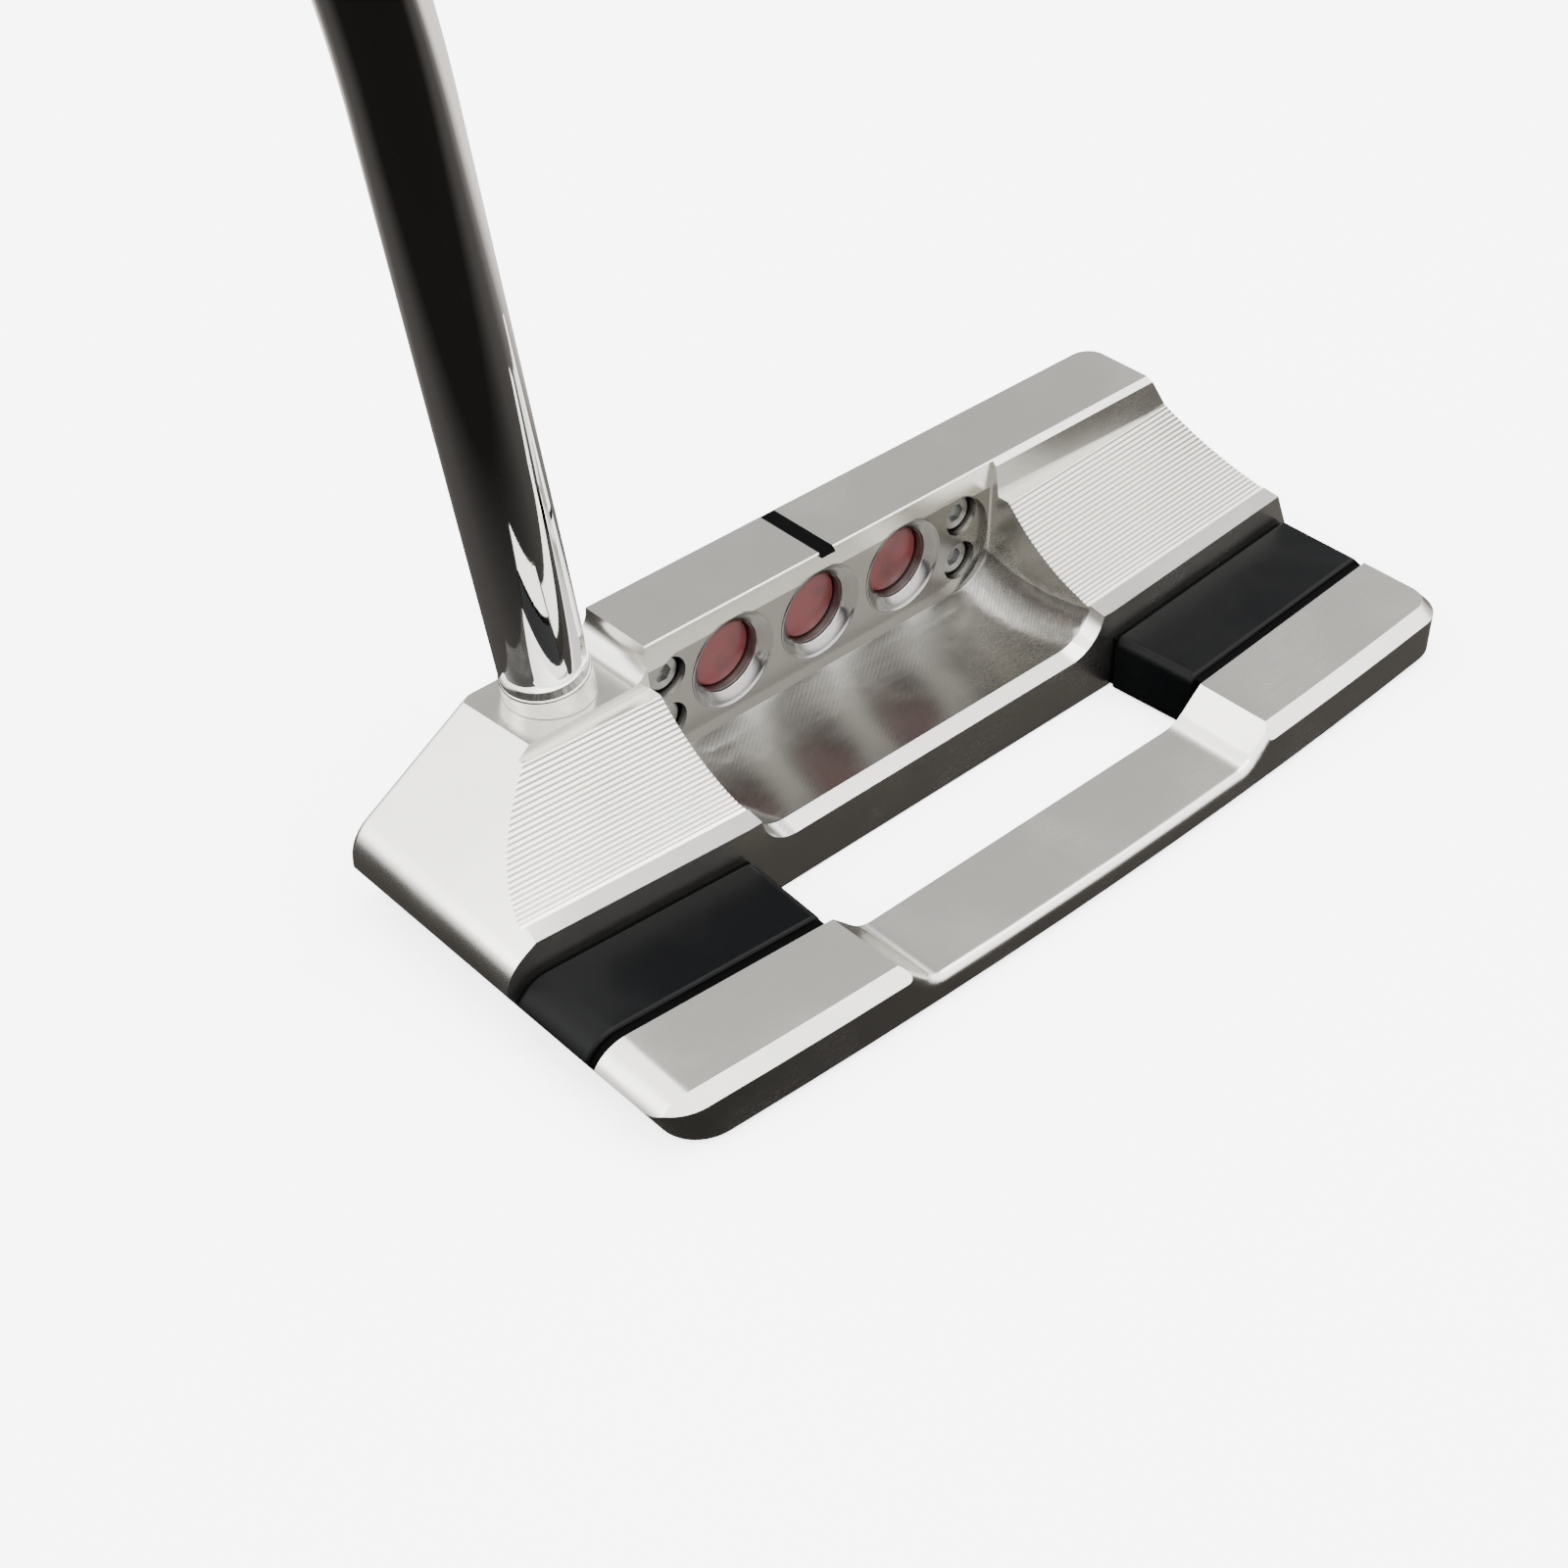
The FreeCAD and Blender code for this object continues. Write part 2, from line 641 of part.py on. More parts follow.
def rear_bar():
    body = bar_blank().common(bar_outline())
    body = body.cut(end_trim(-1))
    # thin bridge behind the window, with a ramp at each end
    ramp = prism([V(-bridge_ramp_top - 2.0, -60, flange_z + 1.9), V(-bridge_ramp_top, -60, flange_z),
                  V(-bridge_ramp_foot, -60, bridge_z), V(bridge_ramp_foot, -60, bridge_z),
                  V(bridge_ramp_top, -60, flange_z), V(bridge_ramp_top + 2.0, -60, flange_z + 1.9)],
                 V(0, 60, 0))
    ramp = fillet_where(ramp, bridge_foot_round, lambda e: e.BoundBox.YLength > 50 and
                        near(e.BoundBox.ZMax, bridge_z, 0.01))
    body = body.cut(ramp)
    reach = bridge_ramp_top + 1.1
    rear = [e for e in body.Edges if e.BoundBox.YMax < -30 and e.BoundBox.XMax < reach and
            e.BoundBox.XMin > -reach and 1 < e.BoundBox.ZMin and e.BoundBox.ZMax < flange_z - 0.5]
    body = body.makeFillet(bridge_bevel, rear)
    sole = [e for e in body.Edges if e.BoundBox.ZMax < 0.01 and e.BoundBox.XLength > 90]
    body = body.makeFillet(sole_edge_round, sole)
    for side in (-1, 1):
        body = body.cut(tongue(side, False, tongue_gap))
        for x, y in rear_screw_spots(side):
            body = body.cut(rod_z(x, y, sole_screw_shank, 0, sole_screw_rise_rear))
    return body.removeSplitter()


def sole_weight(side):
    x = side * weight_x
    plug = rod_z(x, weight_y, weight_radius, weight_recess, weight_depth)
    plug = plug.makeChamfer(0.3, [e for e in plug.Edges if near(e.BoundBox.ZMax, weight_recess, 0.01)])
    for offset in (-weight_pin_offset, weight_pin_offset):
        plug = plug.cut(rod_z(x + offset, weight_y, weight_pin_radius, -1,
                              weight_recess + weight_pin_depth))
    return plug


def shaft_points():
    """Corners of the shaft line: foot, bend start, bend middle, bend end, butt."""
    low = V(-sin(radians(shaft_lean)), 0, cos(radians(shaft_lean)))
    high = V(-sin(radians(lie_lean)), 0, cos(radians(lie_lean)))
    start = shaft_base + low * straight_length
    side = V(-cos(radians(shaft_lean)), 0, -sin(radians(shaft_lean)))
    centre = start + side * bend_radius
    mid_lean = radians((shaft_lean + lie_lean) / 2)
    middle = centre + V(cos(mid_lean), 0, sin(mid_lean)) * bend_radius
    end = centre + V(cos(radians(lie_lean)), 0, sin(radians(lie_lean))) * bend_radius
    arc = bend_radius * radians(lie_lean - shaft_lean)
    used = platform_z / cos(radians(shaft_lean)) + straight_length + arc
    butt = end + high * (club_length - used)
    return low, high, start, centre, end, butt


low_dir, high_dir, bend_start, bend_centre, bend_end, butt_point = shaft_points()
upper_length = (butt_point - bend_end).Length


def shaft_skin(radius, butt_radius, foot):
    """Solid of the shaft's line at one radius: straight, bend, parallel run, taper."""
    straight = Part.makeCylinder(radius, straight_length - foot, shaft_base + low_dir * foot, low_dir)
    ring = Part.Face(Part.Wire(Part.makeCircle(radius, bend_start, low_dir)))
    bend = ring.revolve(bend_centre, V(0, -1, 0), lie_lean - shaft_lean)
    run = Part.makeCylinder(radius, parallel_length, bend_end, high_dir)
    taper = Part.makeCone(radius, butt_radius, upper_length - parallel_length,
                          bend_end + high_dir * parallel_length, high_dir)
    return straight.fuse(bend).fuse(run).fuse(taper)


def shaft():
    outer = shaft_skin(shaft_radius, shaft_butt_radius, collar_height)
    inner = shaft_skin(shaft_radius - shaft_wall, shaft_butt_radius - shaft_wall, collar_height - 1.0)
    return outer.cut(inner).removeSplitter()


def shaft_collar():
    ring = Part.makeCylinder(collar_radius, collar_height + 3, V(0, 0, -3))
    top = [e for e in ring.Edges if near(e.BoundBox.ZMin, collar_height, 0.01)]
    ring = ring.makeChamfer(collar_chamfer, top)
    ring = ring.cut(Part.makeCylinder(post_radius, 20, V(0, 0, -8)))
    return along_shaft(ring).common(box(-90, 0, -60, 60, platform_z, 60))


def shaft_epoxy():
    start = collar_height + epoxy_start
    sleeve = Part.makeCylinder(shaft_radius - shaft_wall, post_length - start - 1, V(0, 0, start))
    return along_shaft(sleeve.cut(Part.makeCylinder(post_radius, 60, V(0, 0, -5))))


def upper_radius(distance):
    """Shaft radius at a distance below the butt."""
    along = upper_length - parallel_length
    return shaft_butt_radius - (shaft_butt_radius - shaft_radius) * distance / along


def on_upper(shape):
    """Place a piece built along +Z, butt at the origin, onto the upper shaft."""
    moved = shape.copy()
    moved.rotate(V(0, 0, 0), V(0, 1, 0), -lie_lean)
    moved.translate(butt_point)
    return moved


def cone_down(butt_radius, foot_radius, length):
    return Part.makeCone(foot_radius, butt_radius, length, V(0, 0, -length))


def grip_tape():
    length = grip_length - 4
    outer = cone_down(shaft_butt_radius + tape_thick, upper_radius(length) + tape_thick, length)
    return on_upper(outer.cut(cone_down(shaft_butt_radius, upper_radius(length), length)))


def grip_section(half, deep, z):
    """Flat front towards +Y, rounded back, seen along the shaft."""
    corner = half * 0.35
    front = grip_flat
    back = front - deep - 6.0
    p = [V(half - corner, front, z), V(half, front - corner, z), V(half, 0, z), V(0, back, z),
         V(-half, 0, z), V(-half, front - corner, z), V(-half + corner, front, z)]
    q = sqrt(0.5)
    edges = [Part.Arc(p[0], V(half - corner + corner * q, front - corner + corner * q, z), p[1]).toShape(),
             Part.LineSegment(p[1], p[2]).toShape(),
             Part.Arc(p[2], p[3], p[4]).toShape(),
             Part.LineSegment(p[4], p[5]).toShape(),
             Part.Arc(p[5], V(-half + corner - corner * q, front - corner + corner * q, z), p[6]).toShape(),
             Part.LineSegment(p[6], p[0]).toShape()]
    return Part.Wire(edges)


def grip():
    stations = [(0.0, 1.0), (60.0, 0.92), (150.0, 0.45), (grip_length, 0.0)]
    wires = []
    for down, share in stations:
        half = grip_low_half + (grip_high_half - grip_low_half) * share
        deep = grip_low_deep + (grip_high_deep - grip_low_deep) * share
        wires.append(grip_section(half, deep, -down))
    body = Part.makeLoft(wires, True, False)
    bore = cone_down(shaft_butt_radius + tape_thick, upper_radius(grip_length) + tape_thick, grip_length)
    return on_upper(body.cut(bore))


def grip_cap():
    """Butt plug: a domed button with a stem inside the shaft."""
    stem = Part.makeCylinder(shaft_butt_radius - shaft_wall - 0.1, 14, V(0, 0, -14))
    button = Part.makeCylinder(cap_radius, cap_length, V(0, -0.6, 0))
    button = button.makeFillet(2.2, [e for e in button.Edges if near(e.BoundBox.ZMin, cap_length, 0.01)])
    button = button.cut(Part.makeCylinder(1.0, 30, V(0, 0, -5)))
    return on_upper(button.fuse(stem.cut(Part.makeCylinder(1.0, 30, V(0, 0, -20)))).removeSplitter())


def group(shapes):
    return Part.makeCompound(shapes)


nodes = {
    "head_body": fitted_head(),
    "face_insert": face_insert(),
    "face_damper": face_damper(),
    "insert_screws": group([insert_screw(x, z) for x, z in screw_spots()]),
    "red_dot_heel": dot(-1),
    "red_dot_centre": dot(0),
    "red_dot_toe": dot(1),
    "sight_line": sight_fill(),
    "rear_bar": rear_bar(),
    "shaft_collar": shaft_collar(),
    "shaft_epoxy": shaft_epoxy(),
    "shaft": shaft(),
    "grip_tape": grip_tape(),
    "grip": grip(),
    "grip_cap": grip_cap(),
}
for name, side in (("heel", -1), ("toe", 1)):
    nodes[name + "_block"] = block(side)
    nodes[name + "_front_gasket"] = gasket(side, True)
    nodes[name + "_rear_gasket"] = gasket(side, False)
    nodes[name + "_front_screws"] = group([sole_screw(x, y, sole_screw_rise_front)
                                           for x, y in front_screw_spots(side)])
    nodes[name + "_rear_screws"] = group([sole_screw(x, y, sole_screw_rise_rear)
                                          for x, y in rear_screw_spots(side)])
    nodes[name + "_sole_weight"] = sole_weight(side)

os.makedirs("parts", exist_ok=True)
for name, shape in nodes.items():
    solids = shape.Solids
    print(name, "solids", len(solids), "valid", shape.isValid(), "volume", round(shape.Volume, 1))
    if len(solids) == 1:
        shape = solids[0]
    shape.exportStep("parts/" + name + ".step")
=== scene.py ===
import json
import math
import bmesh
import bpy
import numpy as np
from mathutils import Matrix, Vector


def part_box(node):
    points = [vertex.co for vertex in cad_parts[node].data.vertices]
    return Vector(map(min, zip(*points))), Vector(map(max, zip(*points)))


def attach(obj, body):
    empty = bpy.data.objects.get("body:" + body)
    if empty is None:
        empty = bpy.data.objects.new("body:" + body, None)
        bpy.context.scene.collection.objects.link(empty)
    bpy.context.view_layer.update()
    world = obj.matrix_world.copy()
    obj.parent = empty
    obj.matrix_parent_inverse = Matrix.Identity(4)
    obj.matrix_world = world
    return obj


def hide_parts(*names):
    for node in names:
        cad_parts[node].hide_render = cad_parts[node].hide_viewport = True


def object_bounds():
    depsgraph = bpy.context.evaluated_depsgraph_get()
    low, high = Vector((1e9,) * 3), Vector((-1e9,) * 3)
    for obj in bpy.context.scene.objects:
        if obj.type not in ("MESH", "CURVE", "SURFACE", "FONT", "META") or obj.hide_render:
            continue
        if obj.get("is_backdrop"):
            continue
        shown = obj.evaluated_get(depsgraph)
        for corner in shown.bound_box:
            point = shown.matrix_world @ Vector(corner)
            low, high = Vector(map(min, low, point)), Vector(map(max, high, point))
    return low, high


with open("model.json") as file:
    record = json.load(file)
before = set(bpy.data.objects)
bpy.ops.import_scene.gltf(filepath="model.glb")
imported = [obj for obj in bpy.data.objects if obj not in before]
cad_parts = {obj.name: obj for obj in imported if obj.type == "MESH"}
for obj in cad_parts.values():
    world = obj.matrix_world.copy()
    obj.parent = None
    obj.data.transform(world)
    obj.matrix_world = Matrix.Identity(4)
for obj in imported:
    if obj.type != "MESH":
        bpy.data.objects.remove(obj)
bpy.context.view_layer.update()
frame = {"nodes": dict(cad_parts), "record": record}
record = frame["record"]
nodes = frame["nodes"]
mm = 0.001
print("frame loaded:", len(nodes), "nodes")


cameraValues = {"place": (-0.16379, -0.1634, 0.18465), "looks": (0.52576, 0.56338, -0.63733), "lens": 61.21}


def makeCamera(values):
    data = bpy.data.cameras.new("camera")
    data.lens = values["lens"]
    data.sensor_width = 36.0
    data.clip_start = 0.005
    data.clip_end = 50.0
    camera = bpy.data.objects.new("camera", data)
    bpy.context.scene.collection.objects.link(camera)
    camera.location = values["place"]
    camera.rotation_euler = Vector(values["looks"]).to_track_quat("-Z", "Y").to_euler()
    bpy.context.scene.camera = camera


makeCamera(cameraValues)
print("camera placed")


# small helpers for node trees
def addNode(tree, kind, **settings):
    node = tree.nodes.new(kind)
    for name, value in settings.items():
        setattr(node, name, value)
    return node


def wire(tree, source, target):
    tree.links.new(source, target)


def mathNode(tree, operation, first, second=None, clamp=False):
    node = addNode(tree, "ShaderNodeMath", operation=operation, use_clamp=clamp)
    for i, value in enumerate((first, second)):
        if value is None:
            continue
        if isinstance(value, (int, float)):
            node.inputs[i].default_value = value
        else:
            wire(tree, value, node.inputs[i])
    return node.outputs[0]


def newGroup(name, inputs, outputs):
    group = bpy.data.node_groups.new(name, "ShaderNodeTree")
    for label, kind, value in inputs:
        socket = group.interface.new_socket(name=label, in_out="INPUT", socket_type=kind)
        if value is not None:
            socket.default_value = value
    for label, kind in outputs:
        group.interface.new_socket(name=label, in_out="OUTPUT", socket_type=kind)
    return group, group.nodes.new("NodeGroupInput"), group.nodes.new("NodeGroupOutput")


def grainGroup():
    # long thin noise: coordinates squeezed along the grain, so each speck becomes a hair line
    group, given, out = newGroup("grainLines", [("Vector", "NodeSocketVector", None),
                                                ("Squeeze", "NodeSocketVector", (1.0, 1.0, 1.0)),
                                                ("Scale", "NodeSocketFloat", 1000.0)],
                                 [("Height", "NodeSocketFloat"), ("Tone", "NodeSocketFloat")])
    squeezed = addNode(group, "ShaderNodeVectorMath", operation="MULTIPLY")
    wire(group, given.outputs["Vector"], squeezed.inputs[0])
    wire(group, given.outputs["Squeeze"], squeezed.inputs[1])
    fine = addNode(group, "ShaderNodeTexNoise")
    fine.inputs["Detail"].default_value = 3.0
    wire(group, squeezed.outputs[0], fine.inputs["Vector"])
    wire(group, given.outputs["Scale"], fine.inputs["Scale"])
    wire(group, fine.outputs["Fac"], out.inputs["Height"])
    tone = addNode(group, "ShaderNodeMapRange")
    tone.inputs["From Min"].default_value = 0.3
    tone.inputs["From Max"].default_value = 0.7
    wire(group, fine.outputs["Fac"], tone.inputs["Value"])
    wire(group, tone.outputs["Result"], out.inputs["Tone"])
    return group


def smudgeGroup():
    # slow cloudy noise times faster noise: where fingers and cloths have dulled a surface
    group, given, out = newGroup("smudges", [("Vector", "NodeSocketVector", None),
                                             ("Scale", "NodeSocketFloat", 60.0)],
                                 [("Mask", "NodeSocketFloat")])
    slow = addNode(group, "ShaderNodeTexNoise")
    slow.inputs["Detail"].default_value = 4.0
    slow.inputs["Distortion"].default_value = 0.6
    wire(group, given.outputs["Vector"], slow.inputs["Vector"])
    wire(group, given.outputs["Scale"], slow.inputs["Scale"])
    soft = addNode(group, "ShaderNodeMapRange", interpolation_type="SMOOTHSTEP")
    soft.inputs["From Min"].default_value = 0.42
    soft.inputs["From Max"].default_value = 0.68
    wire(group, slow.outputs["Fac"], soft.inputs["Value"])
    wire(group, soft.outputs["Result"], out.inputs["Mask"])
    return group


def cutterGroup():
    # cutter marks: even waves across a turned direction, each line broken by a little noise
    group, given, out = newGroup("cutterMarks", [("Vector", "NodeSocketVector", None),
                                                 ("Turn", "NodeSocketVector", (0.0, 0.0, 0.8)),
                                                 ("Pitch", "NodeSocketFloat", 900.0)],
                                 [("Height", "NodeSocketFloat")])
    turned = addNode(group, "ShaderNodeVectorRotate", rotation_type="EULER_XYZ")
    wire(group, given.outputs["Vector"], turned.inputs["Vector"])
    wire(group, given.outputs["Turn"], turned.inputs["Rotation"])
    lines = addNode(group, "ShaderNodeTexWave", wave_type="BANDS", bands_direction="X")
    lines.inputs["Distortion"].default_value = 0.4
    lines.inputs["Detail"].default_value = 1.0
    wire(group, turned.outputs["Vector"], lines.inputs["Vector"])
    wire(group, given.outputs["Pitch"], lines.inputs["Scale"])
    wire(group, lines.outputs["Fac"], out.inputs["Height"])
    return group


def insideGroup():
    # 1 inside a box given by two corners, 0 outside: multiplies six soft comparisons
    group, given, out = newGroup("insideBox", [("Vector", "NodeSocketVector", None),
                                               ("Low", "NodeSocketVector", None),
                                               ("High", "NodeSocketVector", None)],
                                 [("Mask", "NodeSocketFloat")])
    parts = {}
    for label in ("Vector", "Low", "High"):
        split = addNode(group, "ShaderNodeSeparateXYZ")
        wire(group, given.outputs[label], split.inputs[0])
        parts[label] = split
    mask = None
    for axis in "XYZ":
        above = mathNode(group, "GREATER_THAN", parts["Vector"].outputs[axis], parts["Low"].outputs[axis])
        below = mathNode(group, "LESS_THAN", parts["Vector"].outputs[axis], parts["High"].outputs[axis])
        both = mathNode(group, "MULTIPLY", above, below)
        mask = both if mask is None else mathNode(group, "MULTIPLY", mask, both)
    wire(group, mask, out.inputs["Mask"])
    return group


grainLines = grainGroup()
smudges = smudgeGroup()
cutterMarks = cutterGroup()
insideBox = insideGroup()


def useGroup(tree, group, **values):
    node = addNode(tree, "ShaderNodeGroup", node_tree=group)
    for name, value in values.items():
        if hasattr(value, "is_linked"):
            wire(tree, value, node.inputs[name])
        else:
            node.inputs[name].default_value = value
    return node


def startMaterial(name, **constants):
    material = bpy.data.materials.new(name)
    material.use_nodes = True
    tree = material.node_tree
    shader = tree.nodes["Principled BSDF"]
    for label, value in constants.items():
        shader.inputs[label].default_value = value
    coords = addNode(tree, "ShaderNodeTexCoord").outputs["Object"]
    return material, tree, shader, coords


def mixColour(tree, mask, first, second):
    mix = addNode(tree, "ShaderNodeMix", data_type="RGBA")
    mix.inputs["A"].default_value = (*first, 1.0)
    mix.inputs["B"].default_value = (*second, 1.0)
    wire(tree, mask, mix.inputs["Factor"])
    return mix.outputs["Result"]


def mapValue(tree, value, low, high):
    scaled = addNode(tree, "ShaderNodeMapRange")
    scaled.inputs["To Min"].default_value = low
    scaled.inputs["To Max"].default_value = high
    wire(tree, value, scaled.inputs["Value"])
    return scaled.outputs["Result"]


def bumpFrom(tree, shader, height, strength, distance):
    bump = addNode(tree, "ShaderNodeBump")
    bump.inputs["Strength"].default_value = strength
    bump.inputs["Distance"].default_value = distance
    wire(tree, height, bump.inputs["Height"])
    wire(tree, bump.outputs["Normal"], shader.inputs["Normal"])


steelValues = {"light": (0.625, 0.612, 0.570), "dark": (0.555, 0.545, 0.505), "shaded": (0.26, 0.252, 0.235),
               "roughLow": 0.22, "roughHigh": 0.30, "grain": 0.012, "marks": 0.06}


def satinSteel():
    # faint grain along X everywhere; slanting cutter marks on the floor of the cavity; painted shade darkens
    # the recess
    v = steelValues
    material, tree, shader, coords = startMaterial("satinSteel", Metallic=1.0)
    grain = useGroup(tree, grainLines, Vector=coords, Squeeze=(0.05, 1.0, 1.0), Scale=5000.0)
    cloud = useGroup(tree, smudges, Vector=coords, Scale=70.0)
    tone = mathNode(tree, "MULTIPLY", grain.outputs["Tone"], 0.35)
    tone = mathNode(tree, "ADD", tone, mathNode(tree, "MULTIPLY", cloud.outputs["Mask"], 0.5), clamp=True)
    wire(tree, mapValue(tree, tone, v["roughLow"], v["roughHigh"]), shader.inputs["Roughness"])
    low, high = record["physics"]["openings"][1]["box_m"]
    # painted shade: inside the milled recess the base colour is darkened, standing for the shade that falls
    # in the hollow
    recessShade = useGroup(tree, insideBox, Vector=coords, Low=(low[0] - 0.0052, low[1] + 0.0015, 0.003),
                      High=(high[0] + 0.0052, high[1] + 0.0045, 0.0190))
    mix = addNode(tree, "ShaderNodeMix", data_type="RGBA")
    wire(tree, recessShade.outputs["Mask"], mix.inputs["Factor"])
    wire(tree, mixColour(tree, tone, v["light"], v["dark"]), mix.inputs["A"])
    # the painted shade colour for the recess
    mix.inputs["B"].default_value = (*v["shaded"], 1.0)
    wire(tree, mix.outputs["Result"], shader.inputs["Base Color"])
    inside = useGroup(tree, insideBox, Vector=coords, Low=(low[0] - 0.006, low[1] - 0.002, 0.003),
                      High=(high[0] + 0.006, high[1] + 0.0003, 0.0076))
    marks = useGroup(tree, cutterMarks, Vector=coords, Turn=(0.0, 0.0, 0.95), Pitch=700.0)
    milled = mathNode(tree, "MULTIPLY", marks.outputs["Height"], inside.outputs["Mask"])
    milled = mathNode(tree, "MULTIPLY", milled, v["marks"])
    height = mathNode(tree, "ADD", milled, mathNode(tree, "MULTIPLY", grain.outputs["Height"], v["grain"]))
    bumpFrom(tree, shader, height, 0.5, 0.00006)
    return material


def plainMetal(name, colour, roughLow, roughHigh, squeeze, strength):
    # turned or drawn metal: grain in one direction and a few dull clouds
    material, tree, shader, coords = startMaterial(name, Metallic=1.0)
    grain = useGroup(tree, grainLines, Vector=coords, Squeeze=squeeze, Scale=6000.0)
    cloud = useGroup(tree, smudges, Vector=coords, Scale=90.0)
    darker = tuple(0.82 * c for c in colour)
    wire(tree, mixColour(tree, grain.outputs["Tone"], colour, darker), shader.inputs["Base Color"])
    wire(tree, mapValue(tree, cloud.outputs["Mask"], roughLow, roughHigh), shader.inputs["Roughness"])
    bumpFrom(tree, shader, grain.outputs["Height"], strength, 0.00004)
    return material


def blackCoat(name, colour, lift, rough, grainScale, strength, specular=0.5):
    # dark finish with a blasted tooth and slightly paler clouds
    material, tree, shader, coords = startMaterial(name, Metallic=0.0)
    shader.inputs["Specular IOR Level"].default_value = specular
    tooth = useGroup(tree, grainLines, Vector=coords, Squeeze=(1.0, 1.0, 1.0), Scale=grainScale)
    cloud = useGroup(tree, smudges, Vector=coords, Scale=80.0)
    wire(tree, mixColour(tree, cloud.outputs["Mask"], colour, lift), shader.inputs["Base Color"])
    wire(tree, mapValue(tree, cloud.outputs["Mask"], rough, rough + 0.08), shader.inputs["Roughness"])
    bumpFrom(tree, shader, tooth.outputs["Height"], strength, 0.00004)
    return material


def redResin():
    # thin clear coat over cloudy red, with a faintly uneven skin
    material, tree, shader, coords = startMaterial("redResin", Metallic=0.0)
    shader.inputs["Coat Weight"].default_value = 0.35
    shader.inputs["Coat Roughness"].default_value = 0.10
    shader.inputs["Roughness"].default_value = 0.42
    cloud = useGroup(tree, smudges, Vector=coords, Scale=260.0)
    wire(tree, mixColour(tree, cloud.outputs["Mask"], (0.085, 0.007, 0.009), (0.050, 0.005, 0.006)),
         shader.inputs["Base Color"])
    wave = useGroup(tree, grainLines, Vector=coords, Squeeze=(1.0, 1.0, 1.0), Scale=400.0)
    bumpFrom(tree, shader, wave.outputs["Height"], 0.12, 0.0002)
    return material


def chromePlate():
    # mirror plate with faint polishing lines round the tube and a little haze
    material, tree, shader, coords = startMaterial("chromePlate", Metallic=1.0)
    shader.inputs["Base Color"].default_value = (0.78, 0.78, 0.79, 1.0)
    cloud = useGroup(tree, smudges, Vector=coords, Scale=55.0)
    wire(tree, mapValue(tree, cloud.outputs["Mask"], 0.025, 0.075), shader.inputs["Roughness"])
    rings = useGroup(tree, grainLines, Vector=coords, Squeeze=(0.25, 0.25, 1.0), Scale=2500.0)
    bumpFrom(tree, shader, rings.outputs["Height"], 0.03, 0.00003)
    return material


finishes = {
    "satin_steel": satinSteel(),
    "face_alloy": plainMetal("faceAlloy", (0.60, 0.60, 0.59), 0.34, 0.44, (0.3, 1.0, 1.0), 0.4),
    "collar_steel": plainMetal("collarSteel", (0.62, 0.60, 0.56), 0.24, 0.34, (0.2, 0.2, 1.0), 0.25),
    "screw_steel": plainMetal("screwSteel", (0.34, 0.34, 0.33), 0.28, 0.42, (1.0, 1.0, 1.0), 0.3),
    "weight_steel": plainMetal("weightSteel", (0.55, 0.55, 0.54), 0.26, 0.36, (1.0, 0.2, 1.0), 0.3),
    "shaft_chrome": chromePlate(),
    "red_resin": redResin(),
    "sight_paint": blackCoat("sightPaint", (0.0004, 0.0004, 0.0004), (0.0008, 0.0008, 0.0008), 0.45, 5000.0,
                             0.12, 0.02),
    "black_anodised": blackCoat("blackAnodised", (0.0008, 0.0009, 0.0011), (0.0013, 0.0014, 0.0016), 0.32,
                                9000.0, 0.08, 0.07),
    "elastomer": blackCoat("elastomer", (0.0004, 0.0004, 0.0004), (0.0008, 0.0008, 0.0008), 0.65, 6000.0,
                           0.3, 0.02),
    "grip_rubber": blackCoat("gripRubber", (0.004, 0.004, 0.0042), (0.007, 0.007, 0.0073), 0.58, 2500.0,
                             0.5, 0.15),
    "cap_plastic": blackCoat("capPlastic", (0.005, 0.005, 0.0052), (0.008, 0.008, 0.0083), 0.45, 5000.0,
                             0.2, 0.15),
    "epoxy": blackCoat("epoxy", (0.42, 0.36, 0.22), (0.36, 0.30, 0.18), 0.40, 3000.0, 0.2),
    "tape": blackCoat("tape", (0.60, 0.55, 0.40), (0.52, 0.47, 0.34), 0.80, 1500.0, 0.6),
}
print("finishes made:", len(finishes))


def slotOf(node):
    for part in record["subparts"]:
        if part["node"] == node:
            return part["material_slot"]


def giveFinish(piece, node):
    piece.data.materials.clear()
    piece.data.materials.append(finishes[slotOf(node)])


def addPiece(name, mesh, node, replaced=()):
    piece = bpy.data.objects.new(name, mesh)
    bpy.context.scene.collection.objects.link(piece)
    giveFinish(piece, node)
    if replaced:
        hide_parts(*replaced)
    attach(piece, "root")
    return piece


# finished copies of the hard pieces: doubles merged, flats joined, edges broken by a small bevel
edgeBreaks = {"head_body": 0.16, "rear_bar": 0.5, "heel_block": 0.18, "toe_block": 0.18, "face_insert": 0.15,
              "shaft_collar": 0.12, "red_dot_heel": 0.0, "red_dot_centre": 0.0, "red_dot_toe": 0.0,
              "insert_screws": 0.08, "heel_sole_weight": 0.12, "toe_sole_weight": 0.12, "grip_cap": 0.0}
smoothAngle = math.radians(28.0)


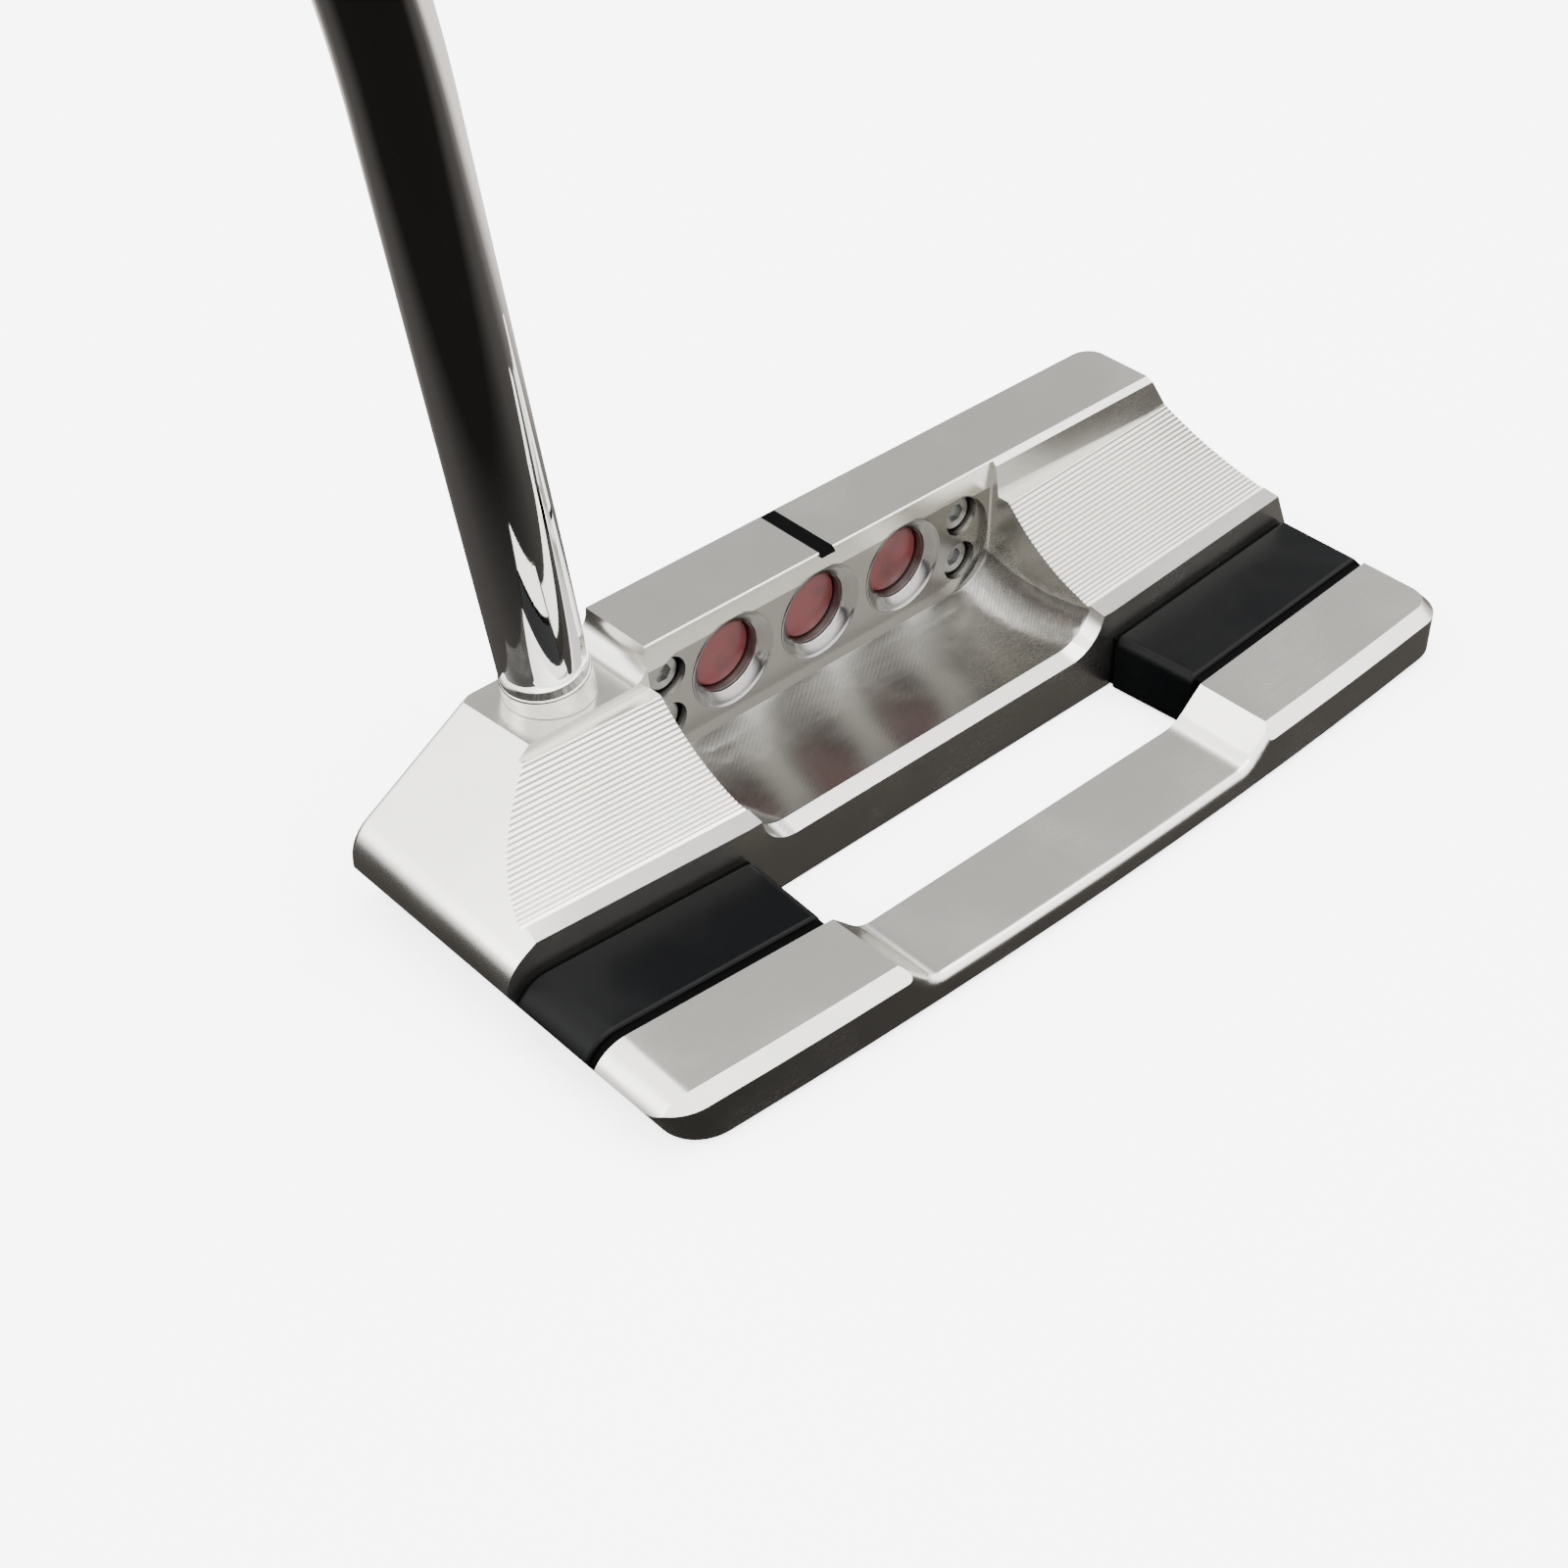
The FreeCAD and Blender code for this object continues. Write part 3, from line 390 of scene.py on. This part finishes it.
def finishedCopy(node, width):
    mesh = nodes[node].data.copy()
    mesh.name = node + "Finished"
    work = bmesh.new()
    work.from_mesh(mesh)
    bmesh.ops.remove_doubles(work, verts=work.verts, dist=2e-6)
    bmesh.ops.dissolve_limit(work, angle_limit=math.radians(0.05), verts=work.verts, edges=work.edges)
    for face in work.faces:
        face.smooth = True
    for edge in work.edges:
        edge.smooth = len(edge.link_faces) == 2 and edge.calc_face_angle(0.0) < smoothAngle
    work.to_mesh(mesh)
    work.free()
    piece = addPiece(node + "_finished", mesh, node, (node,))
    if width > 0:
        bevel = piece.modifiers.new("edgeBreak", "BEVEL")
        bevel.width = width * mm
        bevel.segments = 2
        bevel.limit_method = "ANGLE"
        bevel.angle_limit = smoothAngle
        bevel.use_clamp_overlap = True
    weighted = piece.modifiers.new("evenNormals", "WEIGHTED_NORMAL")
    weighted.keep_sharp = True
    return piece


for nodeName, breakWidth in edgeBreaks.items():
    finishedCopy(nodeName, breakWidth)
print("finished copies:", len(edgeBreaks))

for nodeName in nodes:
    giveFinish(nodes[nodeName], nodeName)


# shaft: one round tube along a straight, an arc and a straight
shaftValues = {"tipRadius": 4.7, "buttRadius": 7.35, "bendRadius": 150.0, "parallel": 90.0, "around": 96,
               "mountAside": 5.0, "endInset": 6, "footSink": 1.0}


def mountNamed(name):
    for mount in record["mounts"]:
        if mount["name"] == name:
            return np.array(mount["pos_m"]), np.array(mount["axis"])


def shaftLine():
    # two lines meet at a corner; an arc tangent to both replaces it
    lowPoint, low = mountNamed("shaft_clip")
    highPoint, high = mountNamed("butt_end")
    low = low / np.linalg.norm(low)
    high = high / np.linalg.norm(high)
    # the butt mount sits beside the vent hole, so step back on to the axis
    highPoint = highPoint - np.cross([0.0, 1.0, 0.0], high) * shaftValues["mountAside"] * mm
    gap = highPoint - lowPoint
    sides = np.stack([low, -high], axis=1)
    reach = np.linalg.lstsq(sides, gap, rcond=None)[0]
    corner = lowPoint + low * reach[0]
    turn = math.acos(float(low @ high))
    cut = shaftValues["bendRadius"] * mm * math.tan(turn / 2)
    return lowPoint, low, highPoint, high, corner, turn, cut


def pathPoints(start, stop, bendSteps, straightSteps):
    lowPoint, low, highPoint, high, corner, turn, cut = shaftLine()
    radius = shaftValues["bendRadius"] * mm
    arcStart = corner - low * cut
    inward = high - low * float(low @ high)
    inward = inward / np.linalg.norm(inward)
    angles = np.linspace(0.0, turn, bendSteps)[:, None]
    arc = arcStart + low * radius * np.sin(angles) + inward * radius * (1 - np.cos(angles))
    first = start + (arcStart - start) * np.linspace(0, 1, straightSteps)[:-1, None]
    last = arc[-1] + (stop - arc[-1]) * np.linspace(0, 1, straightSteps * 4)[1:, None]
    return np.vstack([first, arc, last]), arc[-1]


def gridMesh(name, rows, closed=True):
    # rows is an array of rings; neighbours are joined by quads and, when closed, each end by one face
    count, around, _ = rows.shape
    vertices = rows.reshape(-1, 3)
    i = np.arange(count - 1)[:, None] * around
    j = np.arange(around)[None, :]
    k = (j + 1) % around
    quads = np.stack([i + j, i + k, i + around + k, i + around + j], axis=-1).reshape(-1, 4)
    faces = quads.tolist()
    if closed:
        faces += [list(range(around))[::-1], list(range((count - 1) * around, count * around))]
    mesh = bpy.data.meshes.new(name)
    mesh.from_pydata(vertices.tolist(), [], faces)
    mesh.shade_smooth()
    mesh.update()
    return mesh


def carryRings(path, radii, sections):
    # each section (unit shape) is set square to the path: side axis along Y, the other across it
    along = np.gradient(path, axis=0)
    along = along / np.linalg.norm(along, axis=1)[:, None]
    side = np.array([0.0, 1.0, 0.0])
    across = np.cross(side, along)
    across = across / np.linalg.norm(across, axis=1)[:, None]
    return (path[:, None, :] + across[:, None, :] * (sections[..., 0] * radii[:, None])[..., None]
            + side[None, None, :] * (sections[..., 1] * radii[:, None])[..., None])


def makeShaft(values):
    lowPoint, low, highPoint, high = shaftLine()[:4]
    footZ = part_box("shaft_collar")[1].z - values["footSink"] * mm
    start = lowPoint + low * ((footZ - lowPoint[2]) / low[2])
    stop = highPoint - high * values["endInset"] * mm
    path, bendEnd = pathPoints(start, stop, 40, 30)
    beyond = np.maximum(((path - bendEnd) @ high) - values["parallel"] * mm, 0.0)
    whole = float((stop - bendEnd) @ high) - values["parallel"] * mm
    radii = (values["tipRadius"] + (values["buttRadius"] - values["tipRadius"]) * beyond / whole) * mm
    angle = np.linspace(0, 2 * np.pi, values["around"], endpoint=False)
    ring = np.stack([np.cos(angle), np.sin(angle)], axis=-1)
    rows = carryRings(path, radii, np.broadcast_to(ring, (len(path),) + ring.shape))
    addPiece("shaft_tube", gridMesh("shaftTube", rows), "shaft", ("shaft",))


makeShaft(shaftValues)
print("shaft made")


# grip: flatter smooth front, rounded back, fine ribs across the sides
gripValues = {"around": 144, "along": 520, "ribPitch": 2.4, "ribDeep": 0.28, "length": 267, "capInset": 5,
              "front": 8.6, "halfLow": 9.8, "halfGain": 2.8, "deepLow": 10.2, "deepGain": 5.3,
              "deepShift": 6.0}


def makeGrip(values):
    # radius as a function of angle and distance: a rounded D, minus shallow ribs away from the ends
    highPoint, high = shaftLine()[2:4]
    butt = highPoint - high * values["capInset"] * mm
    length = values["length"] * mm
    down = np.linspace(0, length, values["along"])
    path = butt - high * down[:, None]
    share = np.interp(down, [0, 0.06, 0.15, length], [1.0, 0.92, 0.45, 0.0])
    half = (values["halfLow"] + values["halfGain"] * share) * mm
    deep = (values["deepLow"] + values["deepGain"] * share) * mm
    angle = np.linspace(0, 2 * np.pi, values["around"], endpoint=False)
    c, s = np.cos(angle), np.sin(angle)
    power = 2.0 + 1.4 * (s > 0) * np.abs(s)
    unit = (np.abs(c) ** power + np.abs(s) ** power) ** (-1.0 / power)
    front = values["front"] * mm
    back = deep + values["deepShift"] * mm - front
    x = half[:, None] * unit[None, :] * c[None, :]
    y = np.where(s[None, :] > 0, front, back[:, None]) * unit[None, :] * s[None, :]
    fade = np.clip(np.minimum(down, length - down) / 0.006 - 0.6, 0, 1)
    ribs = 0.5 - 0.5 * np.cos(2 * np.pi * down / (values["ribPitch"] * mm))
    zone = np.clip((0.75 - s) / 0.1, 0, 1) * np.clip((s + 0.92) / 0.1, 0, 1)
    sink = values["ribDeep"] * mm * fade[:, None] * (ribs[:, None] ** 2) * zone[None, :]
    closing = np.sqrt(np.clip((length - down) / 0.0025, 0, 1))[:, None] * 0.06 + 0.94
    radius = np.hypot(x, y)
    x, y = x * (radius - sink) / radius * closing, y * (radius - sink) / radius * closing
    side = np.array([0.0, 1.0, 0.0])
    across = np.cross(side, high)
    rows = path[:, None, :] + across * x[..., None] + side * y[..., None]
    addPiece("grip_sleeve", gridMesh("gripSleeve", rows[::-1]), "grip", ("grip",))


makeGrip(gripValues)
print("grip made")


# bright dished rings round the three red dots: a shallow cone with rounded rims, turned about Y
bezelValues = {"outer": 5.8, "inner": 4.2, "wall": 6.3, "proud": 0.16, "sink": 0.95, "lip": 1.35,
               "around": 96, "steps": 14}


def makeBezels(values):
    for name in ("red_dot_heel", "red_dot_centre", "red_dot_toe"):
        low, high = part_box(name)
        middle = (low + high) / 2
        t = np.linspace(0, 1, values["steps"])
        radius = values["outer"] + (values["inner"] - values["outer"]) * t
        depth = values["sink"] * t ** 1.6 - values["proud"] * np.exp(-((t - 0.1) / 0.09) ** 2)
        radius = np.append(radius, values["inner"])[:, None] * mm
        depth = np.append(depth, values["lip"])[:, None] * mm
        angle = np.linspace(0, 2 * np.pi, values["around"], endpoint=False)[None, :]
        rows = np.stack([middle.x + radius * np.cos(angle), values["wall"] * mm + depth + 0 * angle,
                         middle.z + radius * np.sin(angle)], axis=-1)
        mesh = gridMesh(name + "Bezel", rows, False)
        piece = addPiece(name.replace("red_dot", "dot_bezel"), mesh, "head_body")
        piece.data.materials.clear()
        piece.data.materials.append(bezelMetal)


bezelMetal = plainMetal("bezelMetal", (0.24, 0.235, 0.225), 0.18, 0.26, (1.0, 1.0, 1.0), 0.04)
makeBezels(bezelValues)
print("bezels made")


# floor, which glows with painted reflection tones for mirrored rays
floorValues = {"pale": (0.93, 0.93, 0.93), "size": 6.0, "glow": 2.6, "reach": 0.2,
               "paintedReflectionTones": [(0.0, 0.012), (0.30, 0.014), (0.42, 0.075), (0.54, 0.10), (0.66, 0.25), (0.84, 1.5)]}


def makeFloor(values):
    half = values["size"] / 2
    mesh = bpy.data.meshes.new("floor")
    corners = [(-half, -half, 0), (half, -half, 0), (half, half, 0), (-half, half, 0)]
    mesh.from_pydata(corners, [], [(0, 1, 2, 3)])
    floor = bpy.data.objects.new("floor", mesh)
    bpy.context.scene.collection.objects.link(floor)
    floor.location.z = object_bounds()[0].z - 0.0002
    material = bpy.data.materials.new("paleFloor")
    material.use_nodes = True
    tree = material.node_tree
    shader = tree.nodes["Principled BSDF"]
    shader.inputs["Base Color"].default_value = (*values["pale"], 1.0)
    shader.inputs["Roughness"].default_value = 0.9
    shader.inputs["Specular IOR Level"].default_value = 0.1
    # the paper is lit from behind: rays straight to the eye gain an even glow
    rays = addNode(tree, "ShaderNodeLightPath")
    shader.inputs["Emission Color"].default_value = (1.0, 1.0, 1.0, 1.0)
    wire(tree, mathNode(tree, "MULTIPLY", rays.outputs["Is Camera Ray"], values["glow"]),
         shader.inputs["Emission Strength"])
    # painted reflection: the floor glows only for mirrored rays, dark on the near side and pale on the far
    # side, standing in for black flags and pale card
    coords = addNode(tree, "ShaderNodeTexCoord")
    split = addNode(tree, "ShaderNodeSeparateXYZ")
    wire(tree, coords.outputs["Object"], split.inputs[0])
    away = mathNode(tree, "ADD", mathNode(tree, "MULTIPLY", split.outputs["X"], 0.7),
                    mathNode(tree, "MULTIPLY", split.outputs["Y"], 0.7))
    place = addNode(tree, "ShaderNodeMapRange")
    place.inputs["From Min"].default_value = -values["reach"]
    place.inputs["From Max"].default_value = values["reach"]
    wire(tree, away, place.inputs["Value"])
    ramp = addNode(tree, "ShaderNodeValToRGB")
    while len(ramp.color_ramp.elements) < len(values["paintedReflectionTones"]):
        ramp.color_ramp.elements.new(0.5)
    for element, (position, tone) in zip(ramp.color_ramp.elements, values["paintedReflectionTones"]):
        element.position = position
        element.color = (tone * 1.08, tone, tone * 0.92, 1.0)
    wire(tree, place.outputs["Result"], ramp.inputs["Fac"])
    # painted reflection: this emission is what the metal mirrors from the floor
    glow = addNode(tree, "ShaderNodeEmission")
    wire(tree, ramp.outputs["Color"], glow.inputs["Color"])
    mix = addNode(tree, "ShaderNodeMixShader")
    wire(tree, rays.outputs["Is Glossy Ray"], mix.inputs["Fac"])
    wire(tree, shader.outputs["BSDF"], mix.inputs[1])
    wire(tree, glow.outputs["Emission"], mix.inputs[2])
    wire(tree, mix.outputs["Shader"], tree.nodes["Material Output"].inputs["Surface"])
    mesh.materials.append(material)
    floor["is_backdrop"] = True


makeFloor(floorValues)

# a softbox, given as name: place, target, width, height, power
softboxes = {"overhead": ((0.10, -0.10, 0.85), (0.0, 0.0, 0.0), 0.9, 0.7, 9.0),
             "left": ((-0.75, 0.35, 0.55), (0.0, 0.0, 0.0), 0.5, 0.6, 4.0)}


def makeLights(boxes):
    for name, (place, target, width, height, power) in boxes.items():
        data = bpy.data.lights.new(name, "AREA")
        data.shape = "RECTANGLE"
        data.size = width
        data.size_y = height
        data.energy = power
        lamp = bpy.data.objects.new(name, data)
        lamp.location = place
        lamp.rotation_euler = (Vector(target) - Vector(place)).to_track_quat("-Z", "Y").to_euler()
        bpy.context.scene.collection.objects.link(lamp)


makeLights(softboxes)

skyValues = {"horizon": 0.9, "zenith": 5.0, "strength": 1.0, "shade": 0.135,
             "shadeAxis": (0.526, 0.563, 0.637), "shadeInner": 0.962, "shadeOuter": 0.86}


def makeSky(values):
    # white dome, dimmer low down, with one soft grey patch that the level faces mirror
    world = bpy.data.worlds.new("studio")
    world.use_nodes = True
    tree = world.node_tree
    coords = addNode(tree, "ShaderNodeTexCoord").outputs["Generated"]
    split = addNode(tree, "ShaderNodeSeparateXYZ")
    wire(tree, coords, split.inputs[0])
    rise = addNode(tree, "ShaderNodeMapRange", interpolation_type="SMOOTHSTEP")
    for label, value in (("From Min", 0.02), ("From Max", 0.42), ("To Min", values["horizon"]),
                         ("To Max", values["zenith"])):
        rise.inputs[label].default_value = value
    wire(tree, split.outputs["Z"], rise.inputs["Value"])
    toward = addNode(tree, "ShaderNodeVectorMath", operation="DOT_PRODUCT")
    toward.inputs[1].default_value = values["shadeAxis"]
    wire(tree, coords, toward.inputs[0])
    patch = addNode(tree, "ShaderNodeMapRange", interpolation_type="SMOOTHSTEP")
    for label, value in (("From Min", values["shadeOuter"]), ("From Max", values["shadeInner"])):
        patch.inputs[label].default_value = value
    wire(tree, toward.outputs["Value"], patch.inputs["Value"])
    dimming = mapValue(tree, patch.outputs["Result"], 1.0, values["shade"])
    tone = mathNode(tree, "MULTIPLY", rise.outputs["Result"], dimming)
    background = tree.nodes["Background"]
    background.inputs["Strength"].default_value = values["strength"]
    wire(tree, tone, background.inputs["Color"])
    bpy.context.scene.world = world


makeSky(skyValues)
print("floor, softboxes and dome ready")
